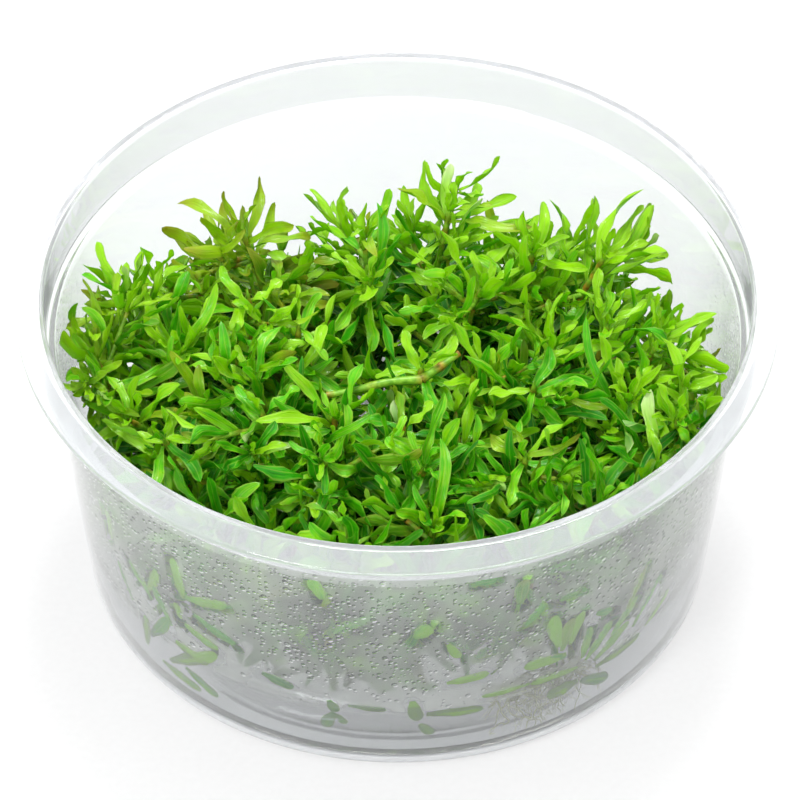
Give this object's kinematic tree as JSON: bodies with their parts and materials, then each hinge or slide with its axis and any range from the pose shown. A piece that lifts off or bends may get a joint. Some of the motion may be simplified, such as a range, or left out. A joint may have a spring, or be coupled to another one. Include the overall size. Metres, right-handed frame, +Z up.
{
  "type": "tissue culture water hedge in a clear cup",
  "caption": "Dense tuft of narrow-leaved green aquarium plant shoots standing on clear nutrient gel in a round clear plastic cup with a wide rim.",
  "frame": {"origin": "middle of the cup's foot, on the surface it stands on", "axes": "+Z up, -Y towards the side of the cup that shows the roots, +X to the right seen from there"},
  "size_m": [0.117, 0.117, 0.055],
  "materials": {
    "clear_cup": "clear, slightly milky moulded polypropylene, fogged inside",
    "nutrient_gel": "wet clear agar gel",
    "root_threads": "pale yellow-green root fibres",
    "leaf_green": "wet glossy leaf, bright green at the tips and darker below",
    "leaf_olive": "wet glossy leaf, olive-yellow"
  },
  "bodies": {
    "root": {"cup": "clear_cup", "nutrient_gel": "nutrient_gel", "root_tuft": "root_threads", "shoot_01": "leaf_green", "shoot_02": "leaf_green", "shoot_03": "leaf_green", "shoot_04": "leaf_green", "shoot_05": "leaf_green", "shoot_06": "leaf_green", "shoot_07": "leaf_green", "shoot_08": "leaf_green", "shoot_09": "leaf_green", "shoot_10": "leaf_green", "shoot_11": "leaf_green", "shoot_12": "leaf_green", "shoot_13": "leaf_green", "shoot_14": "leaf_green", "shoot_15": "leaf_green", "shoot_16": "leaf_green", "shoot_17": "leaf_green", "shoot_18": "leaf_green", "shoot_19": "leaf_green", "shoot_20": "leaf_green", "shoot_21": "leaf_green", "shoot_22": "leaf_green", "shoot_23": "leaf_green", "shoot_24": "leaf_green", "shoot_25": "leaf_green", "shoot_26": "leaf_green", "shoot_27": "leaf_green", "shoot_28": "leaf_green", "shoot_29": "leaf_green", "shoot_30": "leaf_green", "shoot_31": "leaf_green", "shoot_back_left": "leaf_olive", "shoot_back_middle": "leaf_green", "shoot_back_pair": "leaf_green", "shoot_back_right": "leaf_green", "shoot_far_left": "leaf_green", "shoot_far_right": "leaf_green", "shoot_front_bud": "leaf_green", "shoot_front_left_fold": "leaf_green", "shoot_front_left_node": "leaf_green", "shoot_front_node": "leaf_green", "shoot_front_right": "leaf_green", "shoot_left_buds": "leaf_green", "shoot_left_middle": "leaf_green", "shoot_left_wall": "leaf_green", "shoot_low_far_left": "leaf_green", "shoot_low_far_right": "leaf_green", "shoot_low_front": "leaf_green", "shoot_low_left": "leaf_green", "shoot_low_right": "leaf_green", "shoot_middle": "leaf_green", "shoot_middle_bud": "leaf_green", "shoot_middle_star": "leaf_green", "shoot_right_node": "leaf_green", "shoot_right_star": "leaf_green", "shoot_right_wall": "leaf_green"}
  },
  "joints": []
}
